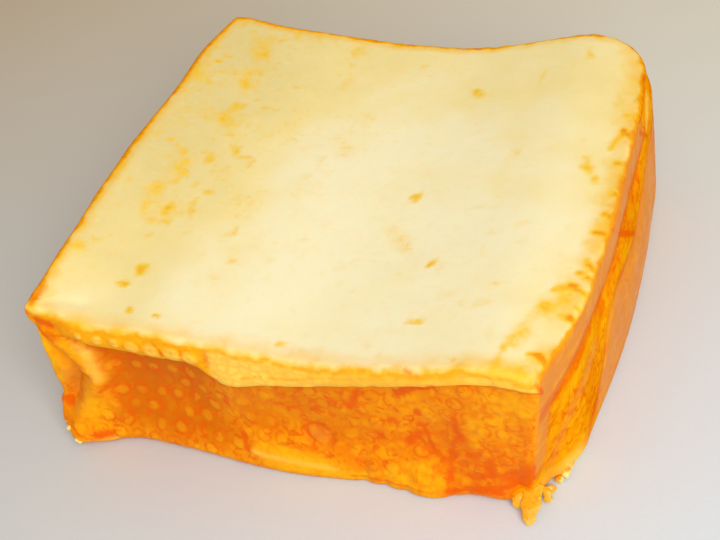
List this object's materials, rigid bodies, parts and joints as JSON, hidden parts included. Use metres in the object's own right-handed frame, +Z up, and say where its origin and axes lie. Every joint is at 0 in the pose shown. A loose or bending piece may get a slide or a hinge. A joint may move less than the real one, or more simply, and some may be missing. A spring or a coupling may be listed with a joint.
{
  "type": "muenster cheese block",
  "caption": "Square slab of muenster cheese with pale cut faces above and below, a dished top and wrinkled orange rind on its sides.",
  "frame": {"origin": "centre of the block's box at its base, on the surface that it lies on", "axes": "+X to the right along the folded front rind, +Y to the back, +Z up"},
  "size_m": [0.1091, 0.1068, 0.0366],
  "materials": {
    "cheese": "moist satin rind with a pale cut face"
  },
  "bodies": {
    "root": {"muenster_block": "cheese"}
  },
  "joints": []
}
